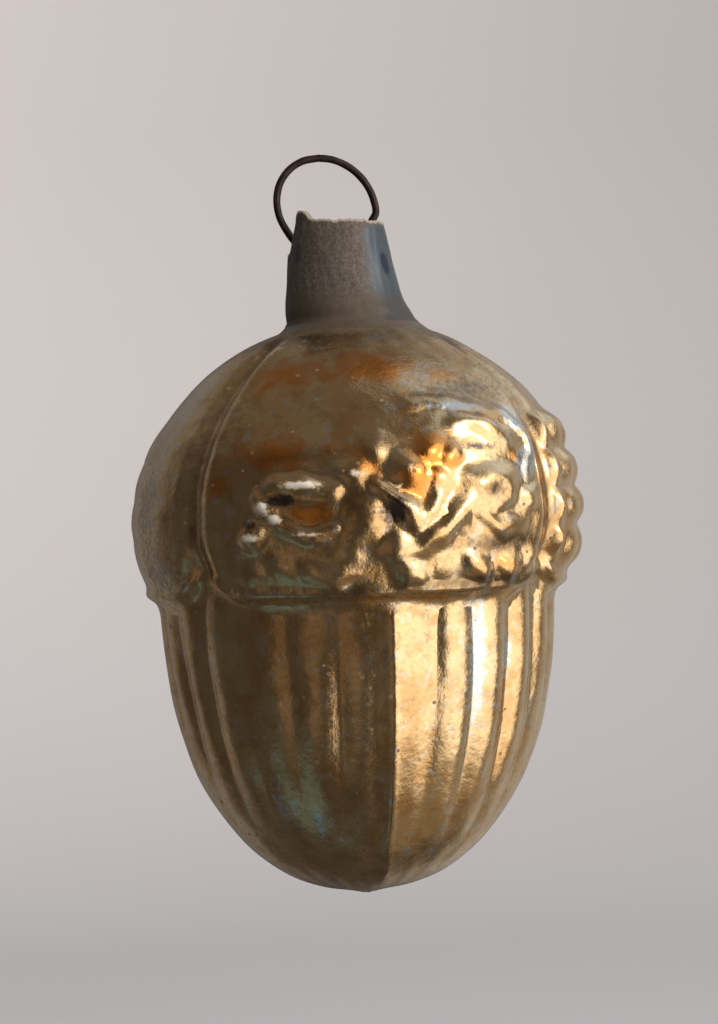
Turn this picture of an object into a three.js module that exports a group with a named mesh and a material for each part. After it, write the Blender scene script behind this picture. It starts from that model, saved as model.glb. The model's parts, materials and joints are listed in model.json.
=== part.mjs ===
// Acorn-shaped blown glass ornament: a thin silvered glass body with a gold lacquer coat, an open
// broken neck, and a bent spring wire pushed into the neck to hang it by.
//
// Frame, in millimetres: +Z runs up the axis of the ornament as it hangs. The origin is the hanging
// point, the inside of the top of the wire loop. The two halves of the mould met in the plane X = 0,
// and the front seam faces -Y. Angles around the axis are counted from the front seam towards +X.

import * as THREE from 'three';

// Heights, from the hanging point down.
const rimDrop = 5.7; // hanging point to the level part of the broken rim
const neckLength = 9.8; // level rim to the shoulder
const cupuleLength = 23.3; // shoulder to the lip of the acorn's cup
const nutLength = 26.6; // lip to the round end of the nut
const nippleLength = 0.45; // small point left where the glass closed

// Outside radii.
const neckRimRadius = 4.2;
const neckFootRadius = 5.4;
const cupuleRadius = 19.8;
const nutRadius = 17.7;

// Glass and its two coats. The coats are films on the real thing and are thicker here.
const glassWall = 0.5;
const lacquerThickness = 0.15;
const silverThickness = 0.08;
const coatGap = 0.05;

// Relief of the mould.
const ribCount = 26;
const ribDepth = 0.55;
const ribFade = [0.15, 0.7]; // shares of the nut's radius between which the ribs come in
const lobeTurn = THREE.MathUtils.degToRad(-2); // middle of the front lobe from the seam
const lobeHalfAngle = THREE.MathUtils.degToRad(52); // from the middle of the front or back lobe to a groove
const grooveDepth = 0.6;
const grooveHalfAngle = THREE.MathUtils.degToRad(5);
const grooveStart = 1.8; // the grooves are at full depth from this many shoulder radii out
const cornerRise = 1.6; // how far the lip rises where two lobes meet
const cornerHalfAngle = THREE.MathUtils.degToRad(9);

// Broken rim of the neck, its lean, and the gap that the wire enters through.
const neckLean = 0.5; // the rim stands this far towards -X of the axis
const toothRise = 1.1;
const toothAngle = THREE.MathUtils.degToRad(-58);
const toothHalfAngle = THREE.MathUtils.degToRad(13);
const notchOverLeg = 0.8; // the deep gap ends this far above the start of the left leg
const notchAngle = THREE.MathUtils.degToRad(-97);
const notchHalfAngle = THREE.MathUtils.degToRad(25);
const notchSides = [1.25, 0.8]; // shares of the half angle where the gap's sides start and end
const leanReach = 1.2; // the lean goes on up the tooth to this share of the neck's length
const swell = 0.45; // the upper part of the cup is fuller by this much towards +X
const swellDrop = 5; // shoulder to the middle of that swell
const swellReach = 5.5;
const rimRoughness = 0.12;

// Wire hanger.
const wireRadius = 0.33;
const loopRadius = 4.45; // to the middle of the wire
const loopOffset = -1.35; // middle of the loop from the axis
const loopSkew = 0.12; // the loop's top leans towards -X by this share of its height
const legStart = 3.3; // how far below the level rim the legs start to flex
const legLength = 10.3;
const legSplay = [THREE.MathUtils.degToRad(6), THREE.MathUtils.degToRad(7.5)];
const legInset = [0.42, 0.85]; // middle of each leg's start to the wall of the bore, left and right
const wireClearance = 0.12; // smallest gap between the wire and the wall of the bore
const entryHeight = 1; // the loop turns into the neck from this far above the level rim
const gapHeight = 1.25; // height above a leg's start where the wire crosses the deep gap
const flexGap = 0.3; // gap between the loop and each leg, where one wire runs through

// Fineness of the meshes.
const segments = ribCount * 3;
const wireSides = 8;
const loopSteps = 44;
const legSteps = 6;
const barrelSteps = 3;
const upperSteps = 6;
const lowerSteps = 2;
const nutSteps = 7;
const nutStepShift = 0.25; // keeps the nut's rows clear of the lip and the tip

// Levels worked out from the heights.
const rimZ = -rimDrop;
const shoulderZ = rimZ - neckLength;
const lipZ = shoulderZ - cupuleLength;
const nutEndZ = lipZ - nutLength;
const tipZ = nutEndZ - nippleLength;
const legTopZ = rimZ - legStart;
const notchDepth = legStart - notchOverLeg;
const flareShare = 0.2; // share of the neck's length where its foot flares out
const barrelZ = shoulderZ + neckLength * flareShare;

// The cup's upper part is a quarter of an ellipse, and its lower part a flatter one down to the lip.
const upperShare = 0.715; // share of the cup's height that lies above its widest level
const widestZ = shoulderZ - upperShare * cupuleLength;
const neckFlare = 0.9; // the neck ends this much wider than its foot, where it meets the shoulder
const flareStart = 0.25; // share of the flare that the foot has at its top
const shoulderRadius = neckFootRadius + neckFlare;
const shoulderSine = shoulderRadius / cupuleRadius;
const upperHeight = (shoulderZ - widestZ) / Math.sqrt(1 - shoulderSine ** 2);
const lipOverhang = 0.9; // the cup's edge above the lip stands out this far over the nut
const lipCosine = (nutRadius + lipOverhang) / cupuleRadius;
const lipRoll = 1.1; // height of the rounded edge under the cup
const underLip = [0.3, 0.15]; // place of the lowest point of that edge, as shares of overhang and roll
const lowerHeight = (widestZ - lipZ - lipRoll) / Math.sqrt(1 - lipCosine ** 2);
const nutPower = 2.2; // roundness of the nut: 2 is an ellipse, more is fuller

function bell(distance, halfWidth) {
  return Math.exp(-((distance / halfWidth) ** 2));
}

// Rises smoothly from 0 to 1 as the value goes from one limit to the other.
function smoothStep(from, to, value) {
  const t = THREE.MathUtils.clamp((value - from) / (to - from), 0, 1);
  return t * t * (3 - 2 * t);
}

// Signed shortest way round from one angle to another.
function turnBetween(angle, target) {
  return Math.atan2(Math.sin(angle - target), Math.cos(angle - target));
}

// Angle from the nearest of the four grooves between the lobes of the cup.
function angleFromGroove(angle) {
  const fromMiddle = Math.abs(turnBetween(angle, lobeTurn));
  return Math.min(fromMiddle, Math.PI - fromMiddle) - lobeHalfAngle;
}

// Height of the broken rim: one tooth, one deep gap and a little roughness between.
function rimHeight(angle) {
  const tooth = toothRise * bell(turnBetween(angle, toothAngle), toothHalfAngle);
  const fromNotch = Math.abs(turnBetween(angle, notchAngle));
  const [outerSide, innerSide] = notchSides;
  const notch = notchDepth * smoothStep(notchHalfAngle * outerSide, notchHalfAngle * innerSide, fromNotch);
  const rough = rimRoughness * Math.sin(5 * angle + 1) * Math.sin(3 * angle);
  return rimZ + tooth - notch + rough;
}

// Radius of the neck at a height: a cone that widens downwards.
function neckRadius(z) {
  const t = THREE.MathUtils.clamp((rimZ - z) / (rimZ - barrelZ), 0, 1);
  return THREE.MathUtils.lerp(neckRimRadius, neckFootRadius, t);
}

// Outline of the outside, rim to tip, as points that say which stretch of the body they lie on.
function outline() {
  const points = [];
  for (let i = 0; i <= barrelSteps; i += 1) {
    const z = THREE.MathUtils.lerp(rimZ, barrelZ, i / barrelSteps);
    points.push({ r: neckRadius(z), z, part: 'neck' });
  }
  points.push({ r: neckFootRadius + neckFlare * flareStart, z: shoulderZ + neckFlare, part: 'foot' });
  const startAngle = Math.asin(shoulderSine);
  for (let i = 0; i <= upperSteps; i += 1) {
    const a = THREE.MathUtils.lerp(startAngle, Math.PI / 2, i / upperSteps);
    const z = widestZ + upperHeight * Math.cos(a);
    points.push({ r: cupuleRadius * Math.sin(a), z, part: 'cupule' });
  }
  const endAngle = Math.acos(lipCosine);
  for (let i = 1; i <= lowerSteps; i += 1) {
    const a = (endAngle * i) / lowerSteps;
    const z = widestZ - lowerHeight * Math.sin(a);
    points.push({ r: cupuleRadius * Math.cos(a), z, part: 'lip' });
  }
  const [underOut, underUp] = underLip;
  points.push({ r: nutRadius + lipOverhang * underOut, z: lipZ + lipRoll * underUp, part: 'lip' });
  for (let i = 0; i < nutSteps; i += 1) {
    const a = (Math.PI / 2) * ((i + nutStepShift) / nutSteps);
    const r = nutRadius * Math.cos(a) ** (2 / nutPower);
    const z = lipZ - nutLength * Math.sin(a) ** (2 / nutPower);
    points.push({ r, z, part: 'nut' });
  }
  points.push({ r: 0, z: tipZ, part: 'tip' });
  return points;
}

// Adds to each outline point the direction that faces out of the surface there.
function withNormals(points) {
  return points.map((point, i) => {
    const before = points[Math.max(i - 1, 0)];
    const after = points[Math.min(i + 1, points.length - 1)];
    const along = new THREE.Vector2(after.r - before.r, after.z - before.z).normalize();
    const out = point.part === 'tip' ? [0, -1] : [-along.y, along.x];
    return { ...point, out };
  });
}

const body = withNormals(outline());
const footRow = body.findIndex((point) => point.part === 'foot');

// Depth of the mould's relief below the smooth outline.
function relief(point, angle) {
  if (point.part === 'nut') {
    const fade = smoothStep(...ribFade, point.r / nutRadius);
    return -ribDepth * fade * (1 - Math.abs(Math.sin((ribCount / 2) * angle)));
  }
  if (point.part === 'cupule' || point.part === 'lip') {
    const fade = smoothStep(shoulderRadius, shoulderRadius * grooveStart, point.r);
    return -grooveDepth * fade * bell(angleFromGroove(angle), grooveHalfAngle);
  }
  return 0;
}

// The lip rises into a rounded corner on each side of a groove.
function liftAt(point, angle) {
  const share = smoothStep(widestZ, lipZ, point.z) * smoothStep(nutEndZ, lipZ, point.z);
  return cornerRise * share * bell(angleFromGroove(angle), cornerHalfAngle);
}

// How far the body's middle stands from the axis, towards +X, at a height.
function leanAt(z) {
  const lean = -neckLean * THREE.MathUtils.clamp((z - shoulderZ) / neckLength, 0, leanReach);
  return lean + swell * bell(z - shoulderZ + swellDrop, swellReach);
}

// A point of the body, moved out by an offset: above the foot its height follows the broken rim.
function surfacePoint(point, angle, offset, rimShift) {
  const out = offset + relief(point, angle);
  let r = Math.max(point.r + point.out[0] * out, 0);
  let z = point.z + point.out[1] * out + liftAt(point, angle);
  if (point.part === 'neck') {
    const footZ = body[footRow].z;
    const share = (point.z - footZ) / (rimZ - footZ);
    z = THREE.MathUtils.lerp(footZ, rimHeight(angle) - rimShift, share);
    r = neckRadius(z) + offset;
  }
  return new THREE.Vector3(r * Math.sin(angle) + leanAt(z), -r * Math.cos(angle), z);
}

// One surface of a shell: rings of points from the rim to a single point at the tip.
function layer(rows, offset, rimShift) {
  return rows.map((point) => {
    if (point.part === 'tip') return [surfacePoint(point, 0, offset, rimShift)];
    const ring = [];
    for (let i = 0; i < segments; i += 1) {
      ring.push(surfacePoint(point, (2 * Math.PI * i) / segments, offset, rimShift));
    }
    return ring;
  });
}

// Closed thin shell between an outer and an inner layer, open at the top.
function shellGeometry(outer, inner) {
  const positions = [];
  const indices = [];
  const place = (rings) => rings.map((ring) => ring.map((p) => positions.push(p.x, p.y, p.z) / 3 - 1));
  const outside = place(outer);
  const inside = place(inner);
  const join = (upper, lower) => {
    const count = upper.length;
    for (let i = 0; i < count; i += 1) {
      const j = (i + 1) % count;
      if (lower.length === 1) {
        indices.push(upper[i], lower[0], upper[j]);
      } else {
        indices.push(upper[i], lower[i], lower[j], upper[i], lower[j], upper[j]);
      }
    }
  };
  const joinReversed = (upper, lower) => {
    const start = indices.length;
    join(upper, lower);
    for (let k = start; k < indices.length; k += 3) {
      [indices[k + 1], indices[k + 2]] = [indices[k + 2], indices[k + 1]];
    }
  };
  for (let k = 1; k < outside.length; k += 1) join(outside[k - 1], outside[k]);
  for (let k = 1; k < inside.length; k += 1) joinReversed(inside[k - 1], inside[k]);
  joinReversed(outside[0], inside[0]);
  const geometry = new THREE.BufferGeometry();
  geometry.setAttribute('position', new THREE.Float32BufferAttribute(positions, 3));
  geometry.setIndex(indices);
  geometry.computeVertexNormals();
  return geometry;
}

// The inside follows the relief with fewer rows: every second one where the body bulges.
function insideLayer(depth, rimShift) {
  const bulging = { cupule: true, nut: true };
  const rows = body.filter((point, i) => !bulging[point.part] || (i - footRow) % 2 === 1);
  return layer(rows, -depth, rimShift);
}

function glassShell() {
  return shellGeometry(layer(body, 0, 0), insideLayer(glassWall, 0));
}

function silverLining() {
  const rimShift = 0.8; // the silver stops a little below the broken edge
  const depth = glassWall + coatGap;
  return shellGeometry(insideLayer(depth, rimShift), insideLayer(depth + silverThickness, rimShift));
}

function lacquerCoat() {
  const rows = body.slice(footRow);
  return shellGeometry(layer(rows, coatGap + lacquerThickness, 0), layer(rows, coatGap, 0));
}

// Round wire along a curve.
function wireGeometry(curve, steps) {
  const section = new THREE.Shape();
  for (let i = 0; i < wireSides; i += 1) {
    const a = (2 * Math.PI * i) / wireSides;
    const point = [wireRadius * Math.cos(a), wireRadius * Math.sin(a)];
    if (i === 0) section.moveTo(...point);
    else section.lineTo(...point);
  }
  section.closePath();
  return new THREE.ExtrudeGeometry(section, { steps, bevelEnabled: false, extrudePath: curve });
}

// Radius of the open bore of the neck, inside the silver lining.
function boreRadius(z) {
  return neckRadius(z) - glassWall - coatGap - silverThickness;
}

// Where each leg hangs on the loop: side -1 is the left leg, +1 the right.
function legTop(side) {
  const inset = legInset[side < 0 ? 0 : 1];
  const reach = boreRadius(legTopZ) - wireRadius - inset;
  return new THREE.Vector3(leanAt(legTopZ) + side * reach, 0, legTopZ);
}

// The round loop stops above the rim on the right, and comes in through the deep gap on the left.
function hangerLoop() {
  const middleZ = wireRadius - loopRadius;
  const rightEnd = Math.asin((rimZ + entryHeight - middleZ) / loopRadius);
  const leftEnd = Math.PI - Math.asin((legTopZ + 2 * gapHeight - middleZ) / loopRadius);
  const arcSteps = 9;
  const entryX = leanAt(rimZ) + boreRadius(rimZ) - wireRadius - wireClearance;
  const points = [legTop(1), new THREE.Vector3(entryX, 0, rimZ)];
  for (let i = 0; i <= arcSteps; i += 1) {
    const a = THREE.MathUtils.lerp(rightEnd, leftEnd, i / arcSteps);
    const x = loopOffset + loopRadius * (Math.cos(a) - loopSkew * Math.sin(a));
    points.push(new THREE.Vector3(x, 0, middleZ + loopRadius * Math.sin(a)));
  }
  const left = legTop(-1);
  points.push(new THREE.Vector3(left.x - wireRadius, 0, legTopZ + gapHeight), left);
  return wireGeometry(new THREE.CatmullRomCurve3(points, false, 'centripetal'), loopSteps);
}

function hangerLeg(side) {
  const splay = legSplay[side < 0 ? 0 : 1];
  const down = new THREE.Vector3(side * Math.sin(splay), 0, -Math.cos(splay));
  const start = legTop(side).addScaledVector(down, flexGap);
  return wireGeometry(new THREE.LineCurve3(start, legTop(side).addScaledVector(down, legLength)), legSteps);
}

function addPart(group, name, geometry, finish) {
  const mesh = new THREE.Mesh(geometry, new THREE.MeshStandardMaterial(finish));
  mesh.name = name;
  group.add(mesh);
}

const glassFinish = { color: 0x77766c, roughness: 0.35, metalness: 0.6 };
const silverFinish = { color: 0xa9a9a2, roughness: 0.25, metalness: 1 };
const lacquerFinish = { color: 0xa9803f, roughness: 0.28, metalness: 0.9 };
const wireFinish = { color: 0x2b211b, roughness: 0.6, metalness: 0.7 };

const group = new THREE.Group();
addPart(group, 'glass_shell', glassShell(), glassFinish);
addPart(group, 'silver_lining', silverLining(), silverFinish);
addPart(group, 'lacquer_coat', lacquerCoat(), lacquerFinish);
addPart(group, 'hanger_loop', hangerLoop(), wireFinish);
addPart(group, 'hanger_leg_left', hangerLeg(-1), wireFinish);
addPart(group, 'hanger_leg_right', hangerLeg(1), wireFinish);

export default group;
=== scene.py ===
"""Looks of an old acorn-shaped glass ornament: silvered inside, gold lacquer outside, hung by a bent wire.

Everything is built in the part's own frame: +Z up the axis, the hanging point at the origin, and the front
mould seam facing -Y. Sizes are millimetres until a mesh is made. Angles round the axis are counted from the
front seam towards +X.
"""

import json
import math

import bpy
import numpy as np
from mathutils import Matrix, Vector


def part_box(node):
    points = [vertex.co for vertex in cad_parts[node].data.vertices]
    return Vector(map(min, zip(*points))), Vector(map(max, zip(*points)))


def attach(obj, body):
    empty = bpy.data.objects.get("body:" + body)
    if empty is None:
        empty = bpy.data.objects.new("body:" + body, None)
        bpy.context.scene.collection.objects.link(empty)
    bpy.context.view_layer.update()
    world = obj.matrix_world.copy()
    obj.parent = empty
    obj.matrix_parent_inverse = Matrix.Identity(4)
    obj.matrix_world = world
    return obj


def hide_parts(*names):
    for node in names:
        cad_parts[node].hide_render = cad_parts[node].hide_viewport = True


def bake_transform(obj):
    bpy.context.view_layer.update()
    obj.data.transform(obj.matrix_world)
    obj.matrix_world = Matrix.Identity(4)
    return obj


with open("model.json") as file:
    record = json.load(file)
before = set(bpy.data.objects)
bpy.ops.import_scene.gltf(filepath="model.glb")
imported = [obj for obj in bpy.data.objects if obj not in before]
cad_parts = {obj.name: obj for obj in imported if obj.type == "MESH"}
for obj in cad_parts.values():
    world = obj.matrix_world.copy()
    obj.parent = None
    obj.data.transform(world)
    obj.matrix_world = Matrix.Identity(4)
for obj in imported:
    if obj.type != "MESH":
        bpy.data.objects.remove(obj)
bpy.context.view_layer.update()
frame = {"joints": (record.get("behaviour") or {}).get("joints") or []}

MM = 0.001
scene = bpy.context.scene

# ------------------------------------------------------------------------------------------- driving sizes

glass_low, glass_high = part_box("glass_shell")
joint_places = {joint["name"]: joint.get("pos_m") for joint in frame["joints"]}

NIPPLE_LENGTH = 0.45
NUT_LENGTH = 26.6
CUP_LENGTH = 23.3
NECK_LENGTH = 9.8
TIP_Z = glass_low.z / MM
NUT_END_Z = TIP_Z + NIPPLE_LENGTH
LIP_Z = NUT_END_Z + NUT_LENGTH
SHOULDER_Z = LIP_Z + CUP_LENGTH
RIM_Z = SHOULDER_Z + NECK_LENGTH
FOOT_Z = SHOULDER_Z + 0.9  # top edge of the lacquer
WIDEST_Z = SHOULDER_Z - 0.715 * CUP_LENGTH
BARREL_Z = SHOULDER_Z + 0.2 * NECK_LENGTH  # below this the neck is no wider

CUP_RADIUS = glass_high.x / MM
NUT_RADIUS = 17.7
NECK_RIM_RADIUS = 4.2
NECK_FOOT_RADIUS = 5.4
SHOULDER_RADIUS = 6.3
LIP_OVERHANG = 0.9
LIP_ROLL = 1.1
NUT_POWER = 2.2
GLASS_WALL = 0.5
LACQUER_THICKNESS = 0.084
GLASS_DEPTH = 0.192  # the glass lies this far under the face of the lacquer
SILVER_GAP = 0.02
SILVER_THICKNESS = 0.04
SILVER_REACH = 0.13  # the CAD's thicker silver and its gap take this much off the bore's radius
NECK_LEAN = 0.5
SWELL = 0.45  # the upper part of the cup is fuller by this much towards +X
SWELL_Z = SHOULDER_Z - 5
SWELL_REACH = 5.5

RIB_COUNT = 26
RIB_DEPTH = 0.62
RIB_TURN = math.radians(2.4)
LOBE_TURN = math.radians(-2)
GROOVE_ANGLE = math.radians(52)  # from the middle of the front or back lobe to its grooves
RIDGE_FROM_GROOVE = 2.1  # a soft pale ridge runs beside each groove
TOOTH_HEIGHT = 1.1
TOOTH_ANGLE = math.radians(-58)
NOTCH_ANGLE = math.radians(-97)
NOTCH_HALF_ANGLE = math.radians(25)
NOTCH_DEPTH = 2.5

WIRE_RADIUS = 0.33
WIRE_SIDES = 20
LOOP_RADIUS = 4.45
LOOP_OFFSET = -1.35
LOOP_SKEW = 0.12  # the loop's top leans to the left by this share of its height
LEG_LENGTH = 10.3
LEG_SPLAY = {-1: math.radians(6), 1: math.radians(7.5)}  # left and right
BEND_END = 1.5  # a leg is straight from this far below its top
HALVES_OVERLAP = 0.012  # radians that each half of the wire runs past the top, into the other
WIRE_CLEARANCE = 0.12
ENTRY_HEIGHT = 1.0  # the loop's circle ends this far above the rim on the right
GAP_HEIGHT = 1.25  # and the wire passes the gap in the rim this far above the left leg

VIEW_AZIMUTH = math.radians(-9.7)
VIEW_ROLL = math.radians(2.3)
VIEW_DISTANCE = 220.0
VIEW_HEIGHT = 92.2  # height of what the camera sees at the axis
AIM_UP, AIM_RIGHT = 0.55, 0.5  # from the axis at the widest part of the cup
TO_CAMERA = Vector((math.sin(VIEW_AZIMUTH), -math.cos(VIEW_AZIMUTH), 0))
TO_RIGHT = Vector((math.cos(VIEW_AZIMUTH), math.sin(VIEW_AZIMUTH), 0))


# ------------------------------------------------------------------------------------------------- camera

def make_camera():
    """Level with the middle of the cup, a little left of the seam, and rolled so that the top leans left."""
    data = bpy.data.cameras.new("camera")
    data.sensor_fit = "AUTO"
    data.sensor_width = 24
    data.lens = data.sensor_width * VIEW_DISTANCE / VIEW_HEIGHT
    data.clip_start = 0.01
    data.clip_end = 20
    camera = bpy.data.objects.new("camera", data)
    scene.collection.objects.link(camera)
    aim = Vector((0, 0, WIDEST_Z + AIM_UP)) + TO_RIGHT * AIM_RIGHT
    turn_to_view = (-TO_CAMERA).to_track_quat("-Z", "Y").to_matrix().to_4x4()
    roll = Matrix.Rotation(-VIEW_ROLL, 4, "Z")
    camera.matrix_world = Matrix.Translation((aim + TO_CAMERA * VIEW_DISTANCE) * MM) @ turn_to_view @ roll
    scene.camera = camera


# -------------------------------------------------------------------------------------------- small tools

def smooth(low, high, value):
    """Rises from 0 at low to 1 at high."""
    t = np.clip((value - low) / (high - low), 0, 1)
    return t * t * (3 - 2 * t)


def bell(distance, width):
    return np.exp(-((distance / width) ** 2))


def turn(angle, target):
    """Signed shortest way round from target to angle."""
    return np.angle(np.exp(1j * (angle - target)))


def waves(angle, z, count, finest, seed):
    """Gentle unevenness of about -1 to 1: a sum of waves that close round the axis."""
    draw = np.random.default_rng(seed)
    total = np.zeros(np.broadcast(angle, z).shape)
    for _ in range(count):
        turns = draw.integers(1, finest)
        pitch = draw.uniform(0.3, 1.0) * finest / CUP_RADIUS
        shift, rise = draw.uniform(0, 2 * math.pi, 2)
        total += np.sin(turns * angle + shift) * np.sin(pitch * z + rise)
    return total / math.sqrt(count)


# ------------------------------------------------------------------------------------- outline of the body

def neck_radius(z):
    """A cone from the rim to the barrel at its foot."""
    t = np.clip((RIM_Z - z) / (RIM_Z - BARREL_Z), 0, 1)
    return NECK_RIM_RADIUS + (NECK_FOOT_RADIUS - NECK_RIM_RADIUS) * t


def neck_points():
    z = np.linspace(RIM_Z, FOOT_Z, 30)
    return list(zip(neck_radius(z), z))


def cup_points():
    """An upper quarter ellipse, a flatter lower one, and the edge rolled in to the nut."""
    sine = SHOULDER_RADIUS / CUP_RADIUS
    upper = (SHOULDER_Z - WIDEST_Z) / math.sqrt(1 - sine**2)
    a = np.linspace(math.asin(sine), math.pi / 2, 90)
    points = list(zip(CUP_RADIUS * np.sin(a), WIDEST_Z + upper * np.cos(a)))
    edge_radius = NUT_RADIUS + LIP_OVERHANG
    cosine = edge_radius / CUP_RADIUS
    lower = (WIDEST_Z - LIP_Z - LIP_ROLL) / math.sqrt(1 - cosine**2)
    a = np.linspace(0, math.acos(cosine), 30)[1:]
    points += list(zip(CUP_RADIUS * np.cos(a), WIDEST_Z - lower * np.sin(a)))
    a = np.linspace(0, math.pi / 2, 10)[1:]
    points += list(zip(edge_radius - LIP_OVERHANG * (1 - np.cos(a)), LIP_Z + LIP_ROLL * (1 - np.sin(a))))
    return points


def nut_points():
    """A rounded point with a little nipple at its tip."""
    a = np.linspace(0.08, math.pi / 2, 100)
    r = NUT_RADIUS * np.cos(a) ** (2 / NUT_POWER)
    z = LIP_Z - (LIP_Z - NUT_END_Z) * np.sin(a) ** (2 / NUT_POWER)
    return list(zip(r, z - (NUT_END_Z - TIP_Z) * bell(r, 1.1)))


def stretch(points, rows):
    """Points spaced evenly along a line."""
    r, z = np.array(points, float).T
    along = np.concatenate([[0], np.cumsum(np.hypot(np.diff(r), np.diff(z)))])
    at = np.linspace(0, along[-1], rows)
    return np.interp(at, along, r), np.interp(at, along, z)


def outline(neck_rows, cup_rows, nut_rows):
    """Radius, height and outward direction of each row of points, from the rim (or the foot) to the tip."""
    cup, nut = cup_points(), nut_points()
    foot = neck_points()[-1]
    parts = [stretch([foot] + cup, cup_rows), stretch([cup[-1]] + nut, nut_rows + 1)]
    if neck_rows:
        parts.insert(0, stretch(neck_points(), neck_rows))
    r = np.concatenate([part[0][i > 0:] for i, part in enumerate(parts)])
    z = np.concatenate([part[1][i > 0:] for i, part in enumerate(parts)])
    for _ in range(4):  # takes the corners off the foot of the neck and the lip
        r[1:-1] = (r[:-2] + 2 * r[1:-1] + r[2:]) / 4
        z[1:-1] = (z[:-2] + 2 * z[1:-1] + z[2:]) / 4
    dr, dz = np.gradient(r), np.gradient(z)
    length = np.hypot(dr, dz)
    return r, z, -dz / length, dr / length


# ------------------------------------------------------------------------------------ relief of the mould

def lump(u, v, at, half_width, half_height, lean, height):
    """A soft oval bump, turned by an angle, with a flattish top."""
    across = (u - at[0]) * math.cos(lean) + (v - at[1]) * math.sin(lean)
    up = (v - at[1]) * math.cos(lean) - (u - at[0]) * math.sin(lean)
    return height * np.exp(-(((across / half_width) ** 2 + (up / half_height) ** 2) ** 1.4))


def curved_ridge(u, v, points, width, height):
    """A rounded ridge along a line of places, lower at its two ends."""
    relief = np.zeros(np.broadcast(u, v).shape)
    last = len(points) - 1
    for i, ((ax, ay), (bx, by)) in enumerate(zip(points[:-1], points[1:])):
        dx, dy = bx - ax, by - ay
        t = np.clip(((u - ax) * dx + (v - ay) * dy) / (dx * dx + dy * dy), 0, 1)
        share = (i + t) / last
        taper = 0.6 + 0.4 * np.sin(math.pi * share)
        distance = np.hypot(u - ax - t * dx, v - ay - t * dy)
        relief = np.maximum(relief, height * taper * bell(distance, width))
    return relief


# The posy on the front lobe. Each place is (distance round to the right of the seam, height).
LEAF_EDGE = [(2.0, -22.5), (5.6, -23.1), (9.0, -23.3), (12.2, -24.1), (14.6, -25.7), (14.9, -27.4),
             (13.4, -29.2)]
CRESCENT = [(6.2, -24.7), (8.8, -24.6), (11.6, -26.1)]
THICK_LEG = [(6.4, -31.4), (4.4, -33.3), (2.2, -34.2)]
THIN_LEG = [(6.4, -31.4), (9.4, -32.9), (12.6, -33.2)]
HOOK = [(-1.3, -30.0), (0.9, -31.2), (2.2, -32.5), (3.8, -30.6)]
NUT_EDGE = [(-10.8, -29.8), (-7.9, -29.2), (-5.0, -29.7)]
NUT_SIDE = [(-11.7, -30.3), (-10.9, -31.2), (-9.6, -32.3)]
NUT_FOOT = [(-9.4, -32.6), (-7.3, -33.3), (-4.8, -32.7)]
# Line of places, half width and height of each ridge.
RIDGES = [(LEAF_EDGE, 0.8, 0.45), (CRESCENT, 1.05, 1.0), (THICK_LEG, 1.15, 0.95), (THIN_LEG, 0.8, 0.65),
          (HOOK, 0.85, 0.75), (NUT_EDGE, 0.75, 0.8), (NUT_SIDE, 0.75, 0.95), (NUT_FOOT, 0.65, 0.7)]
# Place, half width and height of each berry.
BERRIES = [((-1.3, -26.5), 1.2, 0.35), ((-3.2, -28.5), 1.5, 0.35), ((1.7, -28.2), 1.5, 0.8),
           ((3.8, -26.7), 1.2, 0.6), ((5.6, -27.4), 1.1, 0.6), ((3.9, -29.2), 1.1, 0.5),
           ((-2.4, -32.2), 1.8, 0.5), ((0.8, -34.6), 1.4, 0.6), ((13.2, -31.2), 1.1, 0.6),
           ((-11.9, -33.1), 1.2, 0.8)]
# Distance round, half width and height of each bead over the cup's edge.
LIP_BEADS = [(-12.6, 1.4, 0.3), (-9.6, 1.5, 0.3), (-5.9, 2.6, 0.6), (1.4, 1.5, 0.7), (4.4, 1.1, 0.3),
             (7.7, 1.5, 0.75), (11.1, 1.4, 0.75), (13.8, 1.1, 0.5)]
LIP_BEAD_Z = -36.3
LIP_BEAD_HALF_HEIGHT = 1.05
LOBE_REACH = math.pi / 3  # a lobe's pattern is worked out this far from its middle


def merge(shapes):
    """The higher of many overlapping shapes, with the creases between them filled."""
    return sum(np.maximum(shape, 0) ** 3 for shape in shapes) ** (1 / 3)


def small_lumps(u, v):
    """Little uneven bumps between the larger shapes, flatter on the upper left."""
    draw = np.random.default_rng(21)
    lumps = []
    for _ in range(30):
        place = (draw.uniform(-13.5, 14.5), draw.uniform(-36.0, -23.5))
        size = draw.uniform(0.9, 1.8)
        height = draw.uniform(0.10, 0.30)
        calm = 0.35 if place[0] < -1 and place[1] > -29 else 1.0
        lumps.append(lump(u, v, place, size, size * 0.8, draw.uniform(-0.8, 0.8), calm * height))
    return merge(lumps)


def wander(u, v):
    """Shifts each place a little, so that nothing comes out exactly round or straight."""
    across = 0.25 * np.sin(0.9 * v + 1) + 0.12 * np.sin(2.1 * v + 0.7 * u)
    up = 0.22 * np.sin(0.8 * u) + 0.10 * np.sin(2.3 * u + v)
    return u + across, v + up


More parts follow.
